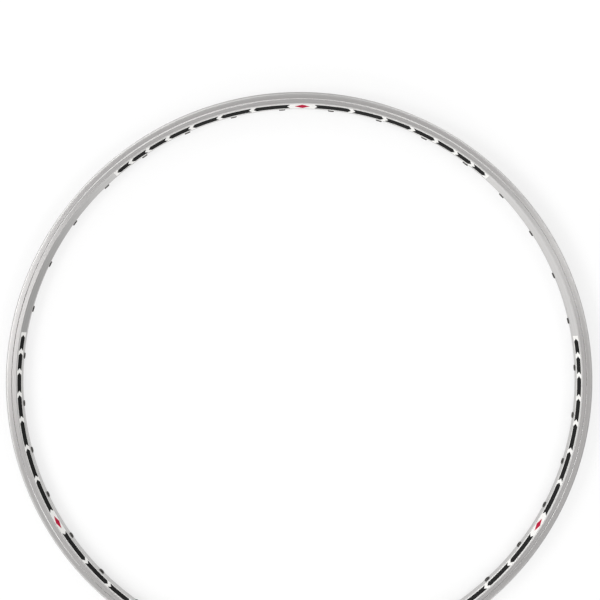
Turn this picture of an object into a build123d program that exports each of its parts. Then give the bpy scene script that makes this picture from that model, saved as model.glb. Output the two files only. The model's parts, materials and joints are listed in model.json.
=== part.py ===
from build123d import *
import os
from math import atan2, cos, degrees, hypot, radians, sin, tan

# Bicycle rim for a tyre with a 622 mm bead seat, in millimetres. It lies on one brake track,
# with the axle line up +Z and the origin at the wheel's centre, midway between the tracks.

# Hoop section
bead_seat_diameter = 622.0  # where the tyre's beads sit
flange_height = 6.2  # bead seat out to the flange tip
rim_width = 22.4  # across the two brake tracks
rim_depth = 17.4  # flange tip in to the spoke bed
track_height = 11.0  # machined brake track, measured from the flange tip
spoke_bed_width = 12.0
flange_wall = 1.5
hook_reach = 1.2  # how far each hook stands in over the tyre's bead
hook_height = 2.4
seat_width = 3.0  # bead seat beside each flange
well_width = 10.4  # floor of the tyre well
well_depth = 2.4  # bead seat in to the floor of the well
bridge_wall = 1.1  # upper wall, under the tyre
sidewall_wall = 1.2
spoke_bed_wall = 1.7  # lower wall, which carries the eyelets
tip_round = 1.9  # outer corner of the flange tip, where the brake track ends
lip_round = 0.7
hook_round = 0.5
well_round = 0.8
chamber_round = 0.7
bed_round = 1.2
track_round = 0.5
groove_width = 0.9  # shallow V, the wear line turned into each brake track
groove_depth = 0.29
groove_from_tip = 6.4

# Spoke holes, eyelets and valve hole
spoke_count = 36
nipple_hole_diameter = 4.3
access_hole_diameter = 8.5  # upper wall, where the nipples go in
eyelet_barrel_wall = 0.6
eyelet_lip_width = 1.15  # ring that shows on the spoke bed, from the nipple hole out
eyelet_lip_height = 1.3
eyelet_lip_round = 0.5
eyelet_flare_width = 1.2  # ring rolled over inside the chamber
eyelet_flare_height = 0.7
eyelet_clearance = 0.03
valve_hole_diameter = 6.5
valve_angle = 268.7  # degrees from +X

# Sleeve that joins the two ends of the rolled hoop
sleeve_length = 40.0
sleeve_clearance = 0.05

# Decals on the sloping sidewalls
decal_count = 3  # on each side
decal_angle = 89.6  # middle of the first decal, in degrees from +X
decal_arc = 82.0  # degrees
decal_height = 6.2
film_glue = 0.03  # adhesive under the film
film_thickness = 0.15
print_height = 5.0
print_thickness = 0.1
mark_length = 16.0  # red lozenge in the middle
mark_height = 4.8
bar_count = 7  # black bars on each side of the lozenge
bar_length = 36.0  # the one beside the lozenge
bar_taper = 0.86  # each bar against the one before it
bar_gap = 5.0
bar_point = 3.0  # how far a bar's arrow end stands out

# Radii and half widths of the section
seat_radius = bead_seat_diameter / 2
tip_radius = seat_radius + flange_height
bed_radius = tip_radius - rim_depth
track_edge_radius = tip_radius - track_height
well_radius = seat_radius - well_depth
half_width = rim_width / 2
bed_half = spoke_bed_width / 2
flange_inside = half_width - flange_wall
hook_inside = flange_inside - hook_reach
hook_edge_radius = tip_radius - hook_height
seat_inside = flange_inside - seat_width
well_half = well_width / 2

# The sidewall runs out from the spoke bed to the track at this angle from the radius
sidewall_angle = atan2(half_width - bed_half, track_edge_radius - bed_radius)
sidewall_length = hypot(half_width - bed_half, track_edge_radius - bed_radius)
sidewall_shift = sidewall_wall / cos(sidewall_angle)
bridge_shift = bridge_wall * tan(atan2(well_depth, seat_inside - well_half) / 2)
chamber_floor_radius = bed_radius + spoke_bed_wall
chamber_floor_half = bed_half + spoke_bed_wall * tan(sidewall_angle) - sidewall_shift
chamber_side_radius = bed_radius + (flange_inside - bed_half + sidewall_shift) / tan(sidewall_angle)

# Places round the hoop, in degrees
spoke_pitch = 360 / spoke_count
first_spoke_angle = valve_angle + spoke_pitch / 2
joint_angle = valve_angle + 180

nipple_hole_radius = nipple_hole_diameter / 2
barrel_radius = nipple_hole_radius + eyelet_barrel_wall
eyelet_seat_radius = barrel_radius + eyelet_clearance


def radial_plane(angle):
    """The half section's plane at an angle: x runs out from the axle line, y runs up it."""
    return Plane.XZ.rotated((0, 0, angle))


def direction(angle):
    return Vector(cos(radians(angle)), sin(radians(angle)))


def hoop_outline():
    """Outside of the hoop's section, drawn above the middle plane and mirrored below it."""
    with BuildSketch() as outline:
        with BuildLine():
            FilletPolyline(
                (bed_radius, 0),
                (bed_radius, bed_half),
                (track_edge_radius, half_width),
                (tip_radius, half_width),
                (tip_radius, hook_inside),
                (hook_edge_radius, hook_inside),
                (hook_edge_radius - hook_reach, flange_inside),
                (seat_radius, flange_inside),
                (seat_radius, seat_inside),
                (well_radius, well_half),
                (well_radius, 0),
                radius=[
                    bed_round,
                    track_round,
                    tip_round,
                    lip_round,
                    hook_round,
                    hook_round,
                    hook_round,
                    well_round,
                    well_round,
                ],
            )
            mirror(about=Plane.XZ)
        make_face()
    return outline.sketch


def chamber_outline():
    """The closed hollow between the spoke bed and the upper wall."""
    with BuildSketch() as outline:
        with BuildLine():
            FilletPolyline(
                (chamber_floor_radius, 0),
                (chamber_floor_radius, chamber_floor_half),
                (chamber_side_radius, flange_inside),
                (seat_radius - bridge_wall, flange_inside),
                (seat_radius - bridge_wall, seat_inside + bridge_shift),
                (well_radius - bridge_wall, well_half + bridge_shift),
                (well_radius - bridge_wall, 0),
                radius=chamber_round,
            )
            mirror(about=Plane.XZ)
        make_face()
    return outline.sketch


def sidewall_strip(height, base, thickness, side):
    """Section of a layer of film on a sidewall, centred between the spoke bed and the track."""
    corners = []
    for along, off in ((-1, base), (1, base), (1, base + thickness), (-1, base + thickness)):
        run = (sidewall_length + along * height) / 2
        corners.append(
            (
                bed_radius + run * cos(sidewall_angle) - off * sin(sidewall_angle),
                side * (bed_half + run * sin(sidewall_angle) + off * cos(sidewall_angle)),
            )
        )
    return corners


os.makedirs("parts", exist_ok=True)

# Hoop: an aluminium extrusion rolled into a ring, with the brake tracks turned afterwards
with BuildPart() as rim_hoop:
    with BuildSketch(Plane.XZ):
        add(hoop_outline())
        add(chamber_outline(), mode=Mode.SUBTRACT)
        with Locations(
            (tip_radius - groove_from_tip, half_width),
            (tip_radius - groove_from_tip, -half_width),
        ):
            Polygon(
                (-groove_width / 2, 0),
                (0, -groove_depth),
                (groove_width / 2, 0),
                (0, groove_depth),
                align=None,
                mode=Mode.SUBTRACT,
            )
    revolve(axis=Axis.Z)
    outwards = (0, 90, 0)
    with PolarLocations(bed_radius + spoke_bed_wall / 2, spoke_count, first_spoke_angle):
        Cylinder(eyelet_seat_radius, 2 * spoke_bed_wall, rotation=outwards, mode=Mode.SUBTRACT)
    with PolarLocations(well_radius - bridge_wall / 2, spoke_count, first_spoke_angle):
        Cylinder(access_hole_diameter / 2, 2 * bridge_wall, rotation=outwards, mode=Mode.SUBTRACT)
    with PolarLocations((bed_radius + well_radius) / 2, 1, valve_angle):
        through_both_walls = well_radius - bed_radius + 2 * bridge_wall
        Cylinder(valve_hole_diameter / 2, through_both_walls, rotation=outwards, mode=Mode.SUBTRACT)
rim_hoop.part.label = "rim_hoop"
export_step(rim_hoop.part, "parts/rim_hoop.step")

# Eyelets: turned steel ferrules, pressed into the spoke bed and rolled over inside the chamber
lip_foot_radius = bed_radius - eyelet_clearance
flare_foot_radius = chamber_floor_radius + eyelet_clearance
lip_radius = nipple_hole_radius + eyelet_lip_width
flare_radius = nipple_hole_radius + eyelet_flare_width
for number in range(spoke_count):
    spoke_angle = first_spoke_angle + number * spoke_pitch
    with BuildPart() as eyelet:
        with BuildSketch(radial_plane(spoke_angle)):
            with BuildLine():
                FilletPolyline(
                    (lip_foot_radius, barrel_radius),
                    (lip_foot_radius, lip_radius),
                    (lip_foot_radius - eyelet_lip_height, lip_radius),
                    (lip_foot_radius - eyelet_lip_height, nipple_hole_radius),
                    (flare_foot_radius + eyelet_flare_height, nipple_hole_radius),
                    radius=[eyelet_lip_round / 2, eyelet_lip_round, eyelet_lip_round],
                )
                Polyline(
                    (flare_foot_radius + eyelet_flare_height, nipple_hole_radius),
                    (flare_foot_radius + eyelet_flare_height, barrel_radius),
                    (flare_foot_radius, flare_radius),
                    (flare_foot_radius, barrel_radius),
                    (lip_foot_radius, barrel_radius),
                )
            make_face()
        revolve(axis=Axis((0, 0, 0), direction(spoke_angle)))
    name = f"eyelet_{number + 1:02d}"
    eyelet.part.label = name
    export_step(eyelet.part, f"parts/{name}.step")

# Joint sleeve: an aluminium block that fills the chamber across the hoop's butted ends
sleeve_arc = degrees(sleeve_length / chamber_floor_radius)
with BuildPart() as joint_sleeve:
    with BuildSketch(radial_plane(joint_angle - sleeve_arc / 2)):
        add(chamber_outline())
        offset(amount=-sleeve_clearance, mode=Mode.REPLACE)
    revolve(axis=Axis.Z, revolution_arc=sleeve_arc)
joint_sleeve.part.label = "joint_sleeve"
export_step(joint_sleeve.part, "parts/joint_sleeve.step")

# Decals: a pale vinyl film on the sidewall, printed with a red lozenge between black arrow bars
print_radius = bed_radius + sidewall_length / 2 * cos(sidewall_angle)
point_angle = degrees(bar_point / print_radius)
mark_half_angle = degrees(mark_length / 2 / print_radius)
ink_base = film_glue + film_thickness


def on_sidewall(angle, run):
    """A point in the plan of a decal, so far up the sloping sidewall from the middle of the print."""
    return direction(angle) * (print_radius + run * cos(sidewall_angle))


def bars_plan(middle):
    """Plan of the black bars: rows of arrows that shrink away from the lozenge both ways. They are
    drawn twice as high as the print, which cuts them to its edges."""
    with BuildSketch() as plan:
        for way in (-1, 1):
            start = mark_half_angle + degrees(bar_gap / print_radius)
            for number in range(bar_count):
                length = bar_length * bar_taper**number
                end = start + degrees(length / print_radius)
                with BuildLine():
                    Polyline(
                        on_sidewall(middle + way * (start - point_angle), -print_height),
                        on_sidewall(middle + way * (start + point_angle), 0),
                        on_sidewall(middle + way * (start - point_angle), print_height),
                        on_sidewall(middle + way * (end - point_angle), print_height),
                        on_sidewall(middle + way * (end + point_angle), 0),
                        on_sidewall(middle + way * (end - point_angle), -print_height),
                        close=True,
                    )
                make_face()
                start = end + degrees(bar_gap / print_radius)
    return plan.sketch


def mark_plan(middle):
    """Plan of the red lozenge."""
    with BuildSketch() as plan:
        with BuildLine():
            Polyline(
                on_sidewall(middle - mark_half_angle, 0),
                on_sidewall(middle, mark_height / 2),
                on_sidewall(middle + mark_half_angle, 0),
                on_sidewall(middle, -mark_height / 2),
                close=True,
            )
        make_face()
    return plan.sketch


for side, side_name in ((1, "upper"), (-1, "lower")):
    for number in range(decal_count):
        middle = decal_angle + number * 360 / decal_count
        with BuildPart() as film:
            with BuildSketch(radial_plane(middle - decal_arc / 2)):
                Polygon(*sidewall_strip(decal_height, film_glue, film_thickness, side), align=None)
            revolve(axis=Axis.Z, revolution_arc=decal_arc)
        film.part.label = f"decal_film_{side_name}_{number + 1}"
        export_step(film.part, f"parts/{film.part.label}.step")
        for motif, plan in (("bars", bars_plan), ("mark", mark_plan)):
            with BuildPart() as ink:
                with BuildSketch(Plane.XZ):
                    Polygon(*sidewall_strip(print_height, ink_base, print_thickness, side), align=None)
                revolve(axis=Axis.Z)
                with BuildSketch(Plane.XY):
                    add(plan(middle))
                extrude(amount=side * rim_width, mode=Mode.INTERSECT)
            ink.part.label = f"decal_{motif}_{side_name}_{number + 1}"
            export_step(ink.part, f"parts/{ink.part.label}.step")
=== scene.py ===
import json
from math import atan2, cos, hypot, pi, radians, sin, tan

import bpy
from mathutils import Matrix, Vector


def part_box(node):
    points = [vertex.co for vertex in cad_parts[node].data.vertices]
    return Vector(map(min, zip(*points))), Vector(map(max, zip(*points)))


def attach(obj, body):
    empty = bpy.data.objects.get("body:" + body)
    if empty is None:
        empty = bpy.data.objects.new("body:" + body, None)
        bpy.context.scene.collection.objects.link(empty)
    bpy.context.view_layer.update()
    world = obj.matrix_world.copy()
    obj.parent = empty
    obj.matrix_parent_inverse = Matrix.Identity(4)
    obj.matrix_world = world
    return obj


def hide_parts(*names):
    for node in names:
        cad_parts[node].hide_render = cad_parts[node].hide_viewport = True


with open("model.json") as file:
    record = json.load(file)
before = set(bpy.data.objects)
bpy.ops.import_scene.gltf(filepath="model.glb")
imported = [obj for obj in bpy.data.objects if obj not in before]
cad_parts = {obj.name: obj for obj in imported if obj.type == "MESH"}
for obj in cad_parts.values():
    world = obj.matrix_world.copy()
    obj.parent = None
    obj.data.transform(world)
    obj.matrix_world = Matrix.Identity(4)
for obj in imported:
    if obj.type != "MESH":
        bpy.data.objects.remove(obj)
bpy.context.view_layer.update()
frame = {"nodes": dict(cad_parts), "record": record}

# Hoop
# One hollow aluminium extrusion, rolled into a ring with its ends butted together. Its brake tracks
# are turned bright on a lathe, each with a wear line, and the rest keeps a satin anodised skin.
mm = 0.001
_, hoop_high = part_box("rim_hoop")
half_width = hoop_high.z
tip_radius = hoop_high.x
track_height = 11.0 * mm
rim_depth = 17.4 * mm
bed_half = 6.0 * mm
flange_wall = 1.5 * mm
flange_height = 6.2 * mm
hook_reach = 1.2 * mm
hook_height = 2.4 * mm
seat_width = 3.0 * mm
well_depth = 2.4 * mm
well_half = 5.2 * mm
bridge_wall = 1.1 * mm
sidewall_wall = 1.2 * mm
spoke_bed_wall = 1.7 * mm
groove_from_tip = 6.4 * mm
groove_half = 0.45 * mm
groove_depth = 0.29 * mm
tip_round = 1.9 * mm
lip_round = 0.7 * mm
hook_round = 0.5 * mm
well_round = 0.8 * mm
bed_round = 1.2 * mm
track_round = 0.5 * mm
track_edge_radius = tip_radius - track_height
bed_radius = tip_radius - rim_depth
hook_edge_radius = tip_radius - hook_height
hook_root_radius = hook_edge_radius - hook_reach
seat_radius = tip_radius - flange_height
well_radius = seat_radius - well_depth
groove_radius = tip_radius - groove_from_tip
flange_inside = half_width - flange_wall
hook_inside = flange_inside - hook_reach
seat_inside = flange_inside - seat_width
sidewall_angle = atan2(half_width - bed_half, track_edge_radius - bed_radius)
ring_steps = 360
round_steps = 4
merge_distance = 0.001 * mm


def draw_section(name, upper_corners):
    """Starts a piece by drawing its section beside the axle line: the corners above the middle plane,
    each a radius, a height and a rounding, and the same corners mirrored below it."""
    corners = upper_corners + [(r, -h, rounding) for r, h, rounding in reversed(upper_corners)]
    bpy.ops.object.select_all(action="DESELECT")
    bpy.ops.mesh.primitive_plane_add(size=mm)
    piece = bpy.context.object
    piece.name = piece.data.name = name
    bpy.ops.object.mode_set(mode="EDIT")
    bpy.ops.mesh.merge(type="CENTER")
    here = Vector()
    for r, h, _ in corners:
        bpy.ops.mesh.extrude_vertices_move(TRANSFORM_OT_translate={"value": Vector((r, 0, h)) - here})
        here = Vector((r, 0, h))
    pick_points(piece, [(0, 0)])
    bpy.ops.mesh.delete(type="VERT")
    pick_points(piece, [corners[0], corners[-1]])
    bpy.ops.mesh.edge_face_add()
    for number, (r, h, rounding) in enumerate(corners):
        before = corners[number - 1]
        after = corners[(number + 1) % len(corners)]
        if rounding:
            turn = atan2(after[1] - h, after[0] - r) - atan2(h - before[1], r - before[0])
            half_turn = abs((turn + pi) % (2 * pi) - pi) / 2
            setback = rounding * tan(half_turn)
            pick_points(piece, [(r, h)])
            bpy.ops.mesh.bevel(offset=setback, segments=round_steps, affect="VERTICES", clamp_overlap=False)
    return piece


def pick_points(piece, places):
    """Selects, in edit mode, the points of a section that lie at these radii and heights."""
    near = 0.01 * mm
    bpy.ops.mesh.select_all(action="DESELECT")
    bpy.ops.object.mode_set(mode="OBJECT")
    for point in piece.data.vertices:
        point.select = any(hypot(point.co.x - r, point.co.z - h) < near for r, h, *_ in places)
    bpy.ops.object.mode_set(mode="EDIT")


def spin_section(piece):
    """Rolls a drawn section once round the axle line into a closed ring."""
    bpy.ops.mesh.select_all(action="SELECT")
    bpy.ops.mesh.spin(steps=ring_steps, angle=2 * pi, center=(0, 0, 0), axis=(0, 0, 1))
    bpy.ops.mesh.select_all(action="SELECT")
    bpy.ops.mesh.remove_doubles(threshold=merge_distance)
    bpy.ops.mesh.normals_make_consistent(inside=False)
    bpy.ops.object.mode_set(mode="OBJECT")


def cut_away(piece, cutter):
    """Cuts one solid out of a piece and throws the cutter away."""
    bpy.ops.object.select_all(action="DESELECT")
    bpy.context.view_layer.objects.active = piece
    cut = piece.modifiers.new("cut", "BOOLEAN")
    cut.operation = "DIFFERENCE"
    cut.solver = "EXACT"
    cut.object = cutter
    bpy.ops.object.modifier_apply(modifier=cut.name)
    bpy.data.objects.remove(cutter)


hoop = draw_section(
    "hoop",
    [
        (bed_radius, bed_half, bed_round),
        (track_edge_radius, half_width, track_round),
        (groove_radius - groove_half, half_width, 0),
        (groove_radius, half_width - groove_depth, 0),
        (groove_radius + groove_half, half_width, 0),
        (tip_radius, half_width, tip_round),
        (tip_radius, hook_inside, lip_round),
        (hook_edge_radius, hook_inside, hook_round),
        (hook_root_radius, flange_inside, hook_round),
        (seat_radius, flange_inside, hook_round),
        (seat_radius, seat_inside, well_round),
        (well_radius, well_half, well_round),
    ],
)
spin_section(hoop)

# The chamber inside keeps each wall's thickness behind the skin
chamber_round = 0.7 * mm
wall_rise = sidewall_wall / cos(sidewall_angle)
bridge_slope = atan2(seat_radius - well_radius, seat_inside - well_half)
bridge_shift = bridge_wall * tan(bridge_slope / 2)
chamber_floor = bed_radius + spoke_bed_wall
chamber_floor_half = bed_half + spoke_bed_wall * tan(sidewall_angle) - wall_rise
chamber_side_radius = bed_radius + (flange_inside - bed_half + wall_rise) / tan(sidewall_angle)
chamber = draw_section(
    "chamber",
    [
        (chamber_floor, chamber_floor_half, chamber_round),
        (chamber_side_radius, flange_inside, chamber_round),
        (seat_radius - bridge_wall, flange_inside, chamber_round),
        (seat_radius - bridge_wall, seat_inside + bridge_shift, chamber_round),
        (well_radius - bridge_wall, well_half + bridge_shift, chamber_round),
    ],
)
spin_section(chamber)
cut_away(hoop, chamber)

# Drilled holes: the eyelets' seats in the spoke bed, a wider access hole over each for the spoke
# nipple, and one valve hole through both walls, half way between two spokes. The first drill opens
# edit mode, and the others are added to its mesh
spoke_count = 36
valve_hole = next(mount for mount in frame["record"]["mounts"] if mount["name"] == "valve_hole")
valve_x, valve_y, _ = valve_hole["pos_m"]
valve_angle = atan2(valve_y, valve_x)
spoke_angles = [valve_angle + (number + 0.5) * 2 * pi / spoke_count for number in range(spoke_count)]
eyelet_seat_radius = 2.78 * mm
access_radius = 4.25 * mm
valve_radius = valve_hole["dims"]["r_mm"] * mm
past_wall = 1.0 * mm
hole_sides = 40
holes = [(valve_angle, valve_radius, bed_radius, well_radius)]
for angle in spoke_angles:
    holes.append((angle, eyelet_seat_radius, bed_radius, chamber_floor))
    holes.append((angle, access_radius, well_radius - bridge_wall, well_radius))
bpy.ops.object.select_all(action="DESELECT")
for number, (angle, hole_radius, start, end) in enumerate(holes):
    middle = (start + end) / 2
    bpy.ops.mesh.primitive_cylinder_add(
        vertices=hole_sides,
        radius=hole_radius,
        depth=end - start + 2 * past_wall,
        location=(middle * cos(angle), middle * sin(angle), 0),
        rotation=(0, pi / 2, angle),
    )
    if number == 0:
        drills = bpy.context.object
        bpy.ops.object.transform_apply()
        bpy.ops.object.mode_set(mode="EDIT")
bpy.ops.object.mode_set(mode="OBJECT")
cut_away(hoop, drills)

# Drilled edges and the wear line stay crisp, and the rounded corners are shaded smooth
crease_angle = radians(28)
bpy.ops.object.select_all(action="DESELECT")
hoop.select_set(True)
bpy.context.view_layer.objects.active = hoop
bpy.ops.object.shade_smooth_by_angle(angle=crease_angle)
even_normals = hoop.modifiers.new("even_normals", "WEIGHTED_NORMAL")
even_normals.keep_sharp = True
bpy.ops.object.modifier_apply(modifier=even_normals.name)


def linear(colour):
    """An sRGB hex colour in linear red, green and blue, with full alpha."""
    shares = [int(colour[place : place + 2], 16) / 255 for place in (1, 3, 5)]
    return [c / 12.92 if c <= 0.04045 else ((c + 0.055) / 1.055) ** 2.4 for c in shares] + [1.0]


def new_material(name):
    """A fresh material, with its shader."""
    material = bpy.data.materials.new(name)
    material.use_nodes = True
    return material, material.node_tree.nodes["Principled BSDF"]


def add_node(shader, kind, inputs, to=None, **settings):
    """Adds a node beside a shader, with its settings and inputs. An input is a value or another
    node's output, and the node's own first output may go to one of the shader's sockets."""
    tree = shader.id_data
    node = tree.nodes.new(kind)
    for name, value in settings.items():
        setattr(node, name, value)
    for name, value in inputs.items():
        if isinstance(value, bpy.types.NodeSocket):
            tree.links.new(value, node.inputs[name])
        else:
            node.inputs[name].default_value = value
    if to:
        tree.links.new(node.outputs[0], shader.inputs[to])
    return node


# Turned aluminium: the tool leaves fine rings round the track, which draw the light out in fans. The
# real rings are finer, and these are as coarse as they need to be to show
turned_aluminium, shader = new_material("turned_aluminium")
shader.inputs["Metallic"].default_value = 1.0
shader.inputs["Anisotropic"].default_value = 0.8
shader.inputs["Anisotropic Rotation"].default_value = 0.25
place = add_node(shader, "ShaderNodeTexCoord", {}).outputs["Object"]
level = add_node(shader, "ShaderNodeVectorMath", {0: place, 1: (1, 1, 0)}, operation="MULTIPLY")
radius = add_node(shader, "ShaderNodeVectorMath", {0: level.outputs[0]}, operation="LENGTH")
ring_pitch = 0.8 * mm
ring_depth = 0.02 * mm
rings = add_node(
    shader,
    "ShaderNodeTexNoise",
    {"W": radius.outputs["Value"], "Scale": 1 / ring_pitch, "Detail": 5.0, "Roughness": 0.7},
    noise_dimensions="1D",
).outputs[0]
tones = {"Color1": linear("#A4A2A1"), "Color2": linear("#DCDAD9")}
add_node(shader, "ShaderNodeMixRGB", {"Fac": rings, **tones}, to="Base Color")
add_node(shader, "ShaderNodeMapRange", {"Value": rings, "To Min": 0.36, "To Max": 0.46}, to="Roughness")
add_node(shader, "ShaderNodeBump", {"Height": rings, "Strength": 0.2, "Distance": ring_depth}, to="Normal")
add_node(shader, "ShaderNodeTangent", {}, to="Tangent", direction_type="RADIAL", axis="Z")

# Satin anodised aluminium: a soft, even grey with faint die lines round the hoop and a fine grain,
# both drawn coarser than the real ones so that they show
anodised_aluminium, shader = new_material("satin_anodised_aluminium")
shader.inputs["Metallic"].default_value = 1.0
place = add_node(shader, "ShaderNodeTexCoord", {}).outputs["Object"]
level = add_node(shader, "ShaderNodeVectorMath", {0: place, 1: (1, 1, 0)}, operation="MULTIPLY")
radius = add_node(shader, "ShaderNodeVectorMath", {0: level.outputs[0]}, operation="LENGTH")
height = add_node(shader, "ShaderNodeSeparateXYZ", {0: place}).outputs["Z"]
section = add_node(shader, "ShaderNodeCombineXYZ", {"X": radius.outputs["Value"], "Y": height})
die_line_pitch = 1.4 * mm
die_lines = add_node(
    shader,
    "ShaderNodeTexNoise",
    {"Vector": section.outputs[0], "Scale": 1 / die_line_pitch, "Detail": 3.0},
).outputs[0]
grain_size = 0.4 * mm
grain_depth = 0.02 * mm
grain = add_node(
    shader, "ShaderNodeTexNoise", {"Vector": place, "Scale": 1 / grain_size, "Detail": 2.0}
).outputs[0]
tones = {"Color1": linear("#B1B0AF"), "Color2": linear("#CFCECD")}
add_node(shader, "ShaderNodeMixRGB", {"Fac": die_lines, **tones}, to="Base Color")
add_node(shader, "ShaderNodeMapRange", {"Value": grain, "To Min": 0.36, "To Max": 0.48}, to="Roughness")
add_node(shader, "ShaderNodeBump", {"Height": grain, "Strength": 0.1, "Distance": grain_depth}, to="Normal")

# Bright cut aluminium: the pointed tool that turns the wear line leaves it shinier than the skin
bright_aluminium, shader = new_material("bright_cut_aluminium")
shader.inputs["Metallic"].default_value = 1.0
place = add_node(shader, "ShaderNodeTexCoord", {}).outputs["Object"]
chatter_size = 3.0 * mm
chatter = add_node(
    shader, "ShaderNodeTexNoise", {"Vector": place, "Scale": 1 / chatter_size, "Detail": 2.0}
).outputs[0]
tones = {"Color1": linear("#A2A1A0"), "Color2": linear("#BEBDBC")}
add_node(shader, "ShaderNodeMixRGB", {"Fac": chatter, **tones}, to="Base Color")
add_node(shader, "ShaderNodeMapRange", {"Value": chatter, "To Min": 0.2, "To Max": 0.3}, to="Roughness")

# Each face of the hoop takes its finish by where it lies
finishes = [anodised_aluminium, turned_aluminium, bright_aluminium]
hoop.data.materials.clear()
for finish in finishes:
    hoop.data.materials.append(finish)
track_outside = tip_radius - tip_round
track_depth = 0.5 * mm
for face in hoop.data.polygons:
    out = hypot(face.center.x, face.center.y)
    finish = anodised_aluminium
    if track_edge_radius < out < track_outside and abs(face.center.z) > half_width - track_depth:
        finish = bright_aluminium if abs(out - groove_radius) < groove_half else turned_aluminium
    face.material_index = finishes.index(finish)
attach(hoop, "root")
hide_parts("rim_hoop")

# Eyelets
# Plated steel ferrules, one to a spoke, pressed into the spoke bed and rolled over on the inside.
# Only their rounded lips and bores show. They are duller than the rim, and painted much darker than plated
# steel, as painted shade.
shaded_plated_steel, shader = new_material("nickel_plated_steel_painted_shade")
shader.inputs["Metallic"].default_value = 1.0
place = add_node(shader, "ShaderNodeTexCoord", {}).outputs["Object"]
bloom_size = 1.5 * mm
bloom = add_node(
    shader, "ShaderNodeTexNoise", {"Vector": place, "Scale": 1 / bloom_size, "Detail": 3.0}
).outputs[0]
# Both tones are far darker than plated steel, as painted shade on the eyelets down on the spoke bed; the
# mottle between them is the plating's own.
tones = {"Color1": linear("#2B2A29"), "Color2": linear("#6E6C69")}
add_node(shader, "ShaderNodeMixRGB", {"Fac": bloom, **tones}, to="Base Color")
add_node(shader, "ShaderNodeMapRange", {"Value": bloom, "To Min": 0.25, "To Max": 0.42}, to="Roughness")
for number in range(spoke_count):
    eyelet = frame["nodes"][f"eyelet_{number + 1:02d}"]
    eyelet.data.materials.clear()
    eyelet.data.materials.append(shaded_plated_steel)

# Joint sleeve
# An aluminium block pushed into the chamber across the butted ends, opposite the valve hole. It
# lies out of sight and has the same skin as the hoop.
sleeve = frame["nodes"]["joint_sleeve"]
sleeve.data.materials.clear()
sleeve.data.materials.append(anodised_aluminium)

# Decals
# White vinyl strips stuck round the sloping sidewalls, three to a side, screen printed with black
# arrow bars that grow towards a red lozenge. Each piece is cut flat, then laid round the cone.
decal_count = 3
decal_angle = radians(89.6)
decal_arc = radians(82.0)
sidewall_length = hypot(half_width - bed_half, track_edge_radius - bed_radius)
decal_radius = bed_radius + sidewall_length / 2 * cos(sidewall_angle)
film_length = decal_arc * decal_radius
film_height = 6.2 * mm
film_glue = 0.03 * mm
film_thickness = 0.15 * mm
print_height = 5.0 * mm
print_thickness = 0.1 * mm
mark_length = 16.0 * mm
mark_height = 4.8 * mm
bar_count = 7
bar_length = 36.0 * mm
bar_taper = 0.86
bar_gap = 5.0 * mm
bar_point = 3.0 * mm
fine_step = 2.5 * mm


def cut_strip(name, length, height):
    """A flat strip of film or ink, in an even number of steps, small enough to follow the rim."""
    steps = 2 * round(length / fine_step / 2) + 2
    bpy.ops.object.select_all(action="DESELECT")
    bpy.ops.mesh.primitive_grid_add(x_subdivisions=steps, y_subdivisions=2, size=1)
    strip = bpy.context.object
    strip.name = strip.data.name = name
    strip.scale = (length, height, 1)
    bpy.ops.object.transform_apply()
    return strip


def lay_on_sidewall(strip, lift, thickness, middle, side):
    """Gives a flat strip its thickness and lays it round the upper or lower sidewall."""
    bpy.ops.object.select_all(action="DESELECT")
    bpy.context.view_layer.objects.active = strip
    body = strip.modifiers.new("thickness", "SOLIDIFY")
    body.thickness = thickness
    body.offset = 1.0
    bpy.ops.object.modifier_apply(modifier=body.name)
    for point in strip.data.vertices:
        run = sidewall_length / 2 + point.co.y
        off = lift + point.co.z
        angle = middle - side * point.co.x / decal_radius
        radius = bed_radius + run * cos(sidewall_angle) - off * sin(sidewall_angle)
        height = bed_half + run * sin(sidewall_angle) + off * cos(sidewall_angle)
        point.co = (radius * cos(angle), radius * sin(angle), side * height)
    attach(strip, "root")


def print_layer(name, colour, faded, roughness, gloss):
    """Vinyl film or screen ink: even colour with a faint mottle. The film shines, and the ink is matt."""
    material, shader = new_material(name)
    shader.inputs["Roughness"].default_value = roughness
    shader.inputs["Specular IOR Level"].default_value = gloss
    place = add_node(shader, "ShaderNodeTexCoord", {}).outputs["Object"]
    mottle_size = 5.0 * mm
    mottle = add_node(
        shader, "ShaderNodeTexNoise", {"Vector": place, "Scale": 1 / mottle_size, "Detail": 4.0}
    ).outputs[0]
    tones = {"Color1": linear(colour), "Color2": linear(faded)}
    add_node(shader, "ShaderNodeMixRGB", {"Fac": mottle, **tones}, to="Base Color")
    return material


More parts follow.
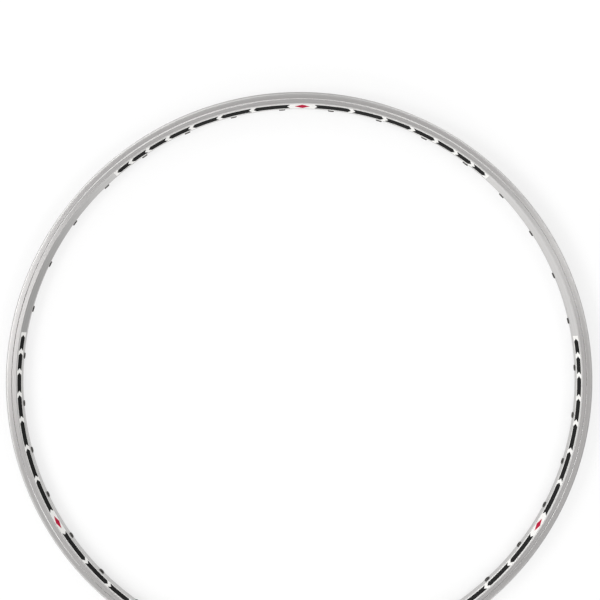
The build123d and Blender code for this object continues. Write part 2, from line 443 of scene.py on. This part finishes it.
white_vinyl = print_layer("white_vinyl_film", "#EDECEA", "#E5E4E1", roughness=0.32, gloss=0.5)
black_ink = print_layer("black_screen_ink", "#0E0E0E", "#1A1A1A", roughness=0.5, gloss=0.15)
red_ink = print_layer("red_screen_ink", "#B5123B", "#A60F34", roughness=0.5, gloss=0.15)
for side, side_name in ((1, "upper"), (-1, "lower")):
    for number in range(decal_count):
        middle = decal_angle + number * 2 * pi / decal_count
        place_name = f"{side_name}_{number + 1}"

        film = cut_strip(f"film_{place_name}", film_length, film_height)
        lay_on_sidewall(film, film_glue, film_thickness, middle, side)
        film.data.materials.append(white_vinyl)
        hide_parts(f"decal_film_{place_name}")

        # The lozenge is a strip that narrows to a point both ways
        mark = cut_strip(f"mark_{place_name}", mark_length, mark_height)
        for point in mark.data.vertices:
            point.co.y *= 1 - abs(point.co.x) / (mark_length / 2)
        bpy.ops.object.mode_set(mode="EDIT")
        bpy.ops.mesh.select_all(action="SELECT")
        bpy.ops.mesh.remove_doubles(threshold=merge_distance)
        bpy.ops.object.mode_set(mode="OBJECT")
        lay_on_sidewall(mark, film_glue + film_thickness, print_thickness, middle, side)
        mark.data.materials.append(red_ink)
        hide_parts(f"decal_mark_{place_name}")

        # The bars are strips with arrow ends, in rows that shrink away from the lozenge
        start = mark_length / 2 + bar_gap
        arrows = []
        for row in range(bar_count):
            length = bar_length * bar_taper**row
            for way in (-1, 1):
                arrow = cut_strip("arrow", length, print_height)
                for point in arrow.data.vertices:
                    point.co.x += way * (start + length / 2)
                    point.co.x += way * bar_point * (1 - 2 * abs(point.co.y) / print_height)
                arrows.append(arrow)
            start += length + bar_gap
        bpy.ops.object.select_all(action="DESELECT")
        for arrow in arrows:
            arrow.select_set(True)
        bpy.context.view_layer.objects.active = arrows[0]
        bpy.ops.object.join()
        bars = arrows[0]
        bars.name = bars.data.name = f"bars_{place_name}"
        lay_on_sidewall(bars, film_glue + film_thickness, print_thickness, middle, side)
        bars.data.materials.append(black_ink)
        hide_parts(f"decal_bars_{place_name}")

# Studio floor
# A wide matt sheet under the rim. It is grey to the lamps, so that the shadow shows and little light
# comes up from below, and it glows white to the camera and in the metal.
floor_size = 80.0
air_gap = 0.05 * mm
white_glow = 0.66
bpy.ops.object.select_all(action="DESELECT")
bpy.ops.mesh.primitive_plane_add(size=floor_size, location=(0, 0, -half_width - air_gap))
floor = bpy.context.object
floor.name = "floor"
white_sheet, shader = new_material("matt_white_sheet")
shader.inputs["Base Color"].default_value = linear("#989898")
shader.inputs["Roughness"].default_value = 0.9
shader.inputs["Emission Color"].default_value = (1, 1, 1, 1)
rays = add_node(shader, "ShaderNodeLightPath", {}).outputs
seen = add_node(
    shader, "ShaderNodeMath", {0: rays["Is Camera Ray"], 1: rays["Is Glossy Ray"]}, operation="ADD"
)
seen = add_node(
    shader, "ShaderNodeMath", {0: seen.outputs[0], 1: rays["Is Transmission Ray"]}, operation="ADD"
)
glow = {"Value": seen.outputs[0], "To Max": white_glow}
add_node(shader, "ShaderNodeMapRange", glow, to="Emission Strength")
floor.data.materials.append(white_sheet)

# Studio light
# A white room that is brighter on the left, and softboxes turned to the rim: one each side of the
# camera, the left one stronger, two low in front that light the inner edges, and two low behind.
left_strength = 0.8
right_strength = 0.4
room = bpy.data.worlds.new("white_room")
room.use_nodes = True
daylight = room.node_tree.nodes["Background"]
daylight.inputs["Color"].default_value = (1, 1, 1, 1)
towards = add_node(daylight, "ShaderNodeTexCoord", {}).outputs["Generated"]
rightwards = add_node(daylight, "ShaderNodeSeparateXYZ", {0: towards}).outputs["X"]
add_node(
    daylight,
    "ShaderNodeMapRange",
    {"Value": rightwards, "From Min": -1.0, "To Min": left_strength, "To Max": right_strength},
    to="Strength",
)
bpy.context.scene.world = room
# Place in metres, width and height in metres, power in watts
softboxes = [
    ("softbox_left", (-1.45, 0.0, 1.9), (1.0, 0.8), 13.0),
    ("softbox_right", (1.5, 0.38, 1.7), (0.6, 1.1), 7.0),
    ("softbox_low", (-0.5, -1.85, 1.05), (5.0, 1.4), 15.0),
    ("softbox_front", (0.1, -1.75, 0.95), (2.0, 1.0), 9.0),
    ("softbox_back_left", (-1.35, 1.6, 0.65), (2.6, 1.0), 16.0),
    ("softbox_back_right", (1.0, 1.5, 0.6), (1.3, 0.9), 6.0),
]
for name, spot, (width, height), power in softboxes:
    lamp = bpy.data.lights.new(name, "AREA")
    lamp.shape = "RECTANGLE"
    lamp.size = width
    lamp.size_y = height
    lamp.energy = power
    softbox = bpy.data.objects.new(name, lamp)
    bpy.context.scene.collection.objects.link(softbox)
    softbox.location = spot
    softbox.rotation_euler = (-Vector(spot)).to_track_quat("-Z", "Y").to_euler()

# Camera
# Almost square on to the rim's face, a little above the middle, as the photograph was taken.
camera_distance = 2500.0 * mm
camera_tilt = radians(8.141)
camera_swing = radians(0.863)
aim = (0.48 * mm, 92.65 * mm)
seen_width = 651.4 * mm
lens = bpy.data.cameras.new("camera")
lens.sensor_width = 36.0
lens.lens = lens.sensor_width * camera_distance / seen_width
camera = bpy.data.objects.new("camera", lens)
bpy.context.scene.collection.objects.link(camera)
camera.rotation_mode = "YXZ"
camera.rotation_euler = (-camera_tilt, -camera_swing, 0)
bpy.context.view_layer.update()
camera.location = camera.matrix_world.to_3x3() @ Vector((*aim, camera_distance))
bpy.context.scene.camera = camera
bpy.context.scene.view_settings.view_transform = "Standard"
